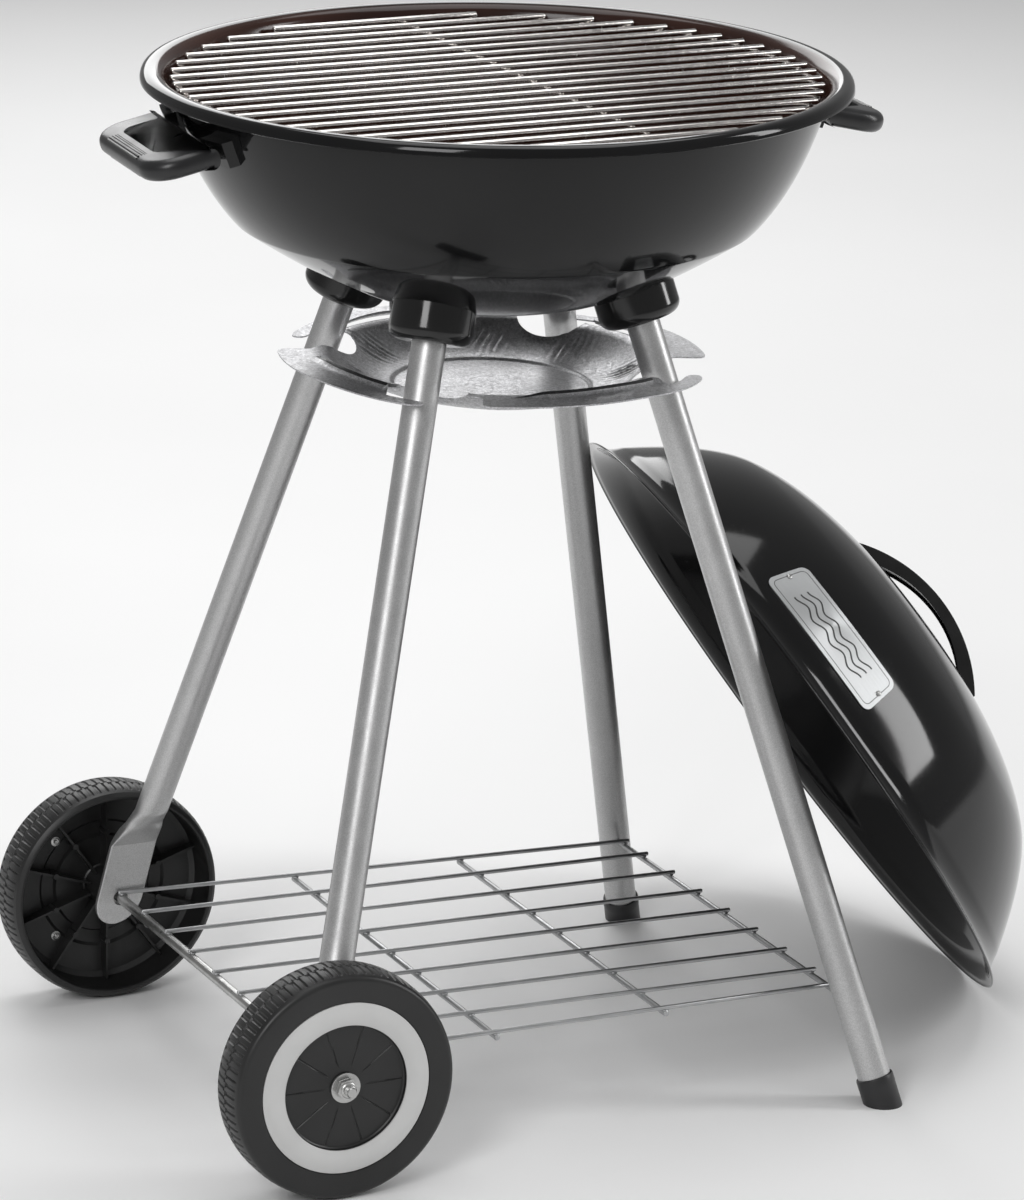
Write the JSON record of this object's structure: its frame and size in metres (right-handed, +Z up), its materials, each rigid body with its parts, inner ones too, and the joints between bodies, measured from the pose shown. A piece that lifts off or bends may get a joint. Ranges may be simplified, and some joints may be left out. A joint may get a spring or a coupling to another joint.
{
  "type": "kettle charcoal grill",
  "caption": "Round charcoal grill on a wheeled tubular trolley with a wire shelf and hanging ash pan, its domed lid leaned against the legs.",
  "frame": {"origin": "middle of the whole part's footprint, at floor level", "axes": "+Z up; +X from the axle and wheels towards the feet and the leaned lid; +Y away from the near wheel, parallel to the axle"},
  "size_m": [0.6769, 0.5036, 0.674],
  "materials": {
    "bowl_enamel": "gloss black porcelain enamel, dark brown inside",
    "lid_enamel": "gloss black porcelain enamel",
    "satin_black_plastic": "satin black moulded plastic",
    "gloss_black_plastic": "glossy black moulded plastic",
    "silver_paint": "satin silver paint on steel tube",
    "bright_wire": "bright plated steel wire",
    "dull_wire": "plain steel wire",
    "wheel_plastic": "satin black blow-moulded plastic",
    "pale_grey_plastic": "smooth pale grey plastic",
    "galvanised_sheet": "galvanised sheet steel with fine spangle",
    "brushed_plate": "brushed pale metal",
    "damper_metal": "plain aluminium sheet",
    "zinc_fasteners": "zinc-plated steel"
  },
  "bodies": {
    "frame": {"fire_bowl": "bowl_enamel", "grate_brackets": "bowl_enamel", "bowl_damper_rivet": "zinc_fasteners", "handle_left": "satin_black_plastic", "handle_right": "satin_black_plastic", "handle_spacers": "satin_black_plastic", "handle_bolts": "zinc_fasteners", "socket_wheel_near": "gloss_black_plastic", "socket_wheel_far": "gloss_black_plastic", "socket_foot_near": "gloss_black_plastic", "socket_foot_far": "gloss_black_plastic", "socket_bolts": "zinc_fasteners", "leg_plugs": "zinc_fasteners", "leg_wheel_near": "silver_paint", "leg_wheel_far": "silver_paint", "leg_foot_near": "silver_paint", "leg_foot_far": "silver_paint", "foot_cap_near": "satin_black_plastic", "foot_cap_far": "satin_black_plastic", "axle_rod": "zinc_fasteners", "axle_nuts": "zinc_fasteners", "outer_washers": "zinc_fasteners", "inner_washers": "zinc_fasteners", "bottom_shelf": "bright_wire"},
    "near_wheel": {"wheel_near": "wheel_plastic", "trim_ring_near": "pale_grey_plastic", "trim_clips_near": "zinc_fasteners"},
    "far_wheel": {"wheel_far": "wheel_plastic", "trim_ring_far": "pale_grey_plastic", "trim_clips_far": "zinc_fasteners"},
    "cooking_grate_body": {"cooking_grate": "bright_wire"},
    "charcoal_grate_body": {"charcoal_grate": "dull_wire"},
    "ash_pan_body": {"ash_pan": "galvanised_sheet"},
    "bowl_damper_body": {"bowl_damper": "damper_metal"},
    "lid": {"lid_shell": "lid_enamel", "lid_handle": "gloss_black_plastic", "lid_handle_screws": "zinc_fasteners", "name_plate": "brushed_plate", "plate_rivets": "zinc_fasteners", "lid_damper_rivet": "zinc_fasteners"},
    "lid_damper_body": {"lid_damper": "damper_metal"}
  },
  "joints": [
    {"name": "near_wheel_spin", "type": "hinge", "parent": "frame", "child": "near_wheel", "pos_m": [-0.2624, -0.2168, 0.076], "axis": [0, 1, 0], "continuous": true},
    {"name": "far_wheel_spin", "type": "hinge", "parent": "frame", "child": "far_wheel", "pos_m": [-0.2624, 0.1752, 0.076], "axis": [0, 1, 0], "continuous": true},
    {"name": "cooking_grate_lift", "type": "slide", "parent": "frame", "child": "cooking_grate_body", "axis": [0, 0, 1], "range_m": [0, 0.15]},
    {"name": "charcoal_grate_lift", "type": "slide", "parent": "frame", "child": "charcoal_grate_body", "axis": [0, 0, 1], "range_m": [0, 0.05]},
    {"name": "ash_pan_twist", "type": "hinge", "parent": "frame", "child": "ash_pan_body", "pos_m": [-0.0694, -0.0208, 0.484], "axis": [0, 0, 1], "range_deg": [-8, 0]},
    {"name": "bowl_damper_turn", "type": "hinge", "parent": "frame", "child": "bowl_damper_body", "pos_m": [-0.0694, -0.0208, 0.52], "axis": [0, 0, 1], "range_deg": [0, 45]},
    {"name": "lid_pull_away", "type": "slide", "parent": "frame", "child": "lid", "axis": [0.8201, -0.1211, 0.5592], "range_m": [0, 0.3]},
    {"name": "lid_damper_turn", "type": "hinge", "parent": "lid", "child": "lid_damper_body", "pos_m": [0.30463, 0.08038, 0.20961], "axis": [0.8837, 0.0242, 0.4674], "range_deg": [0, 45]}
  ]
}
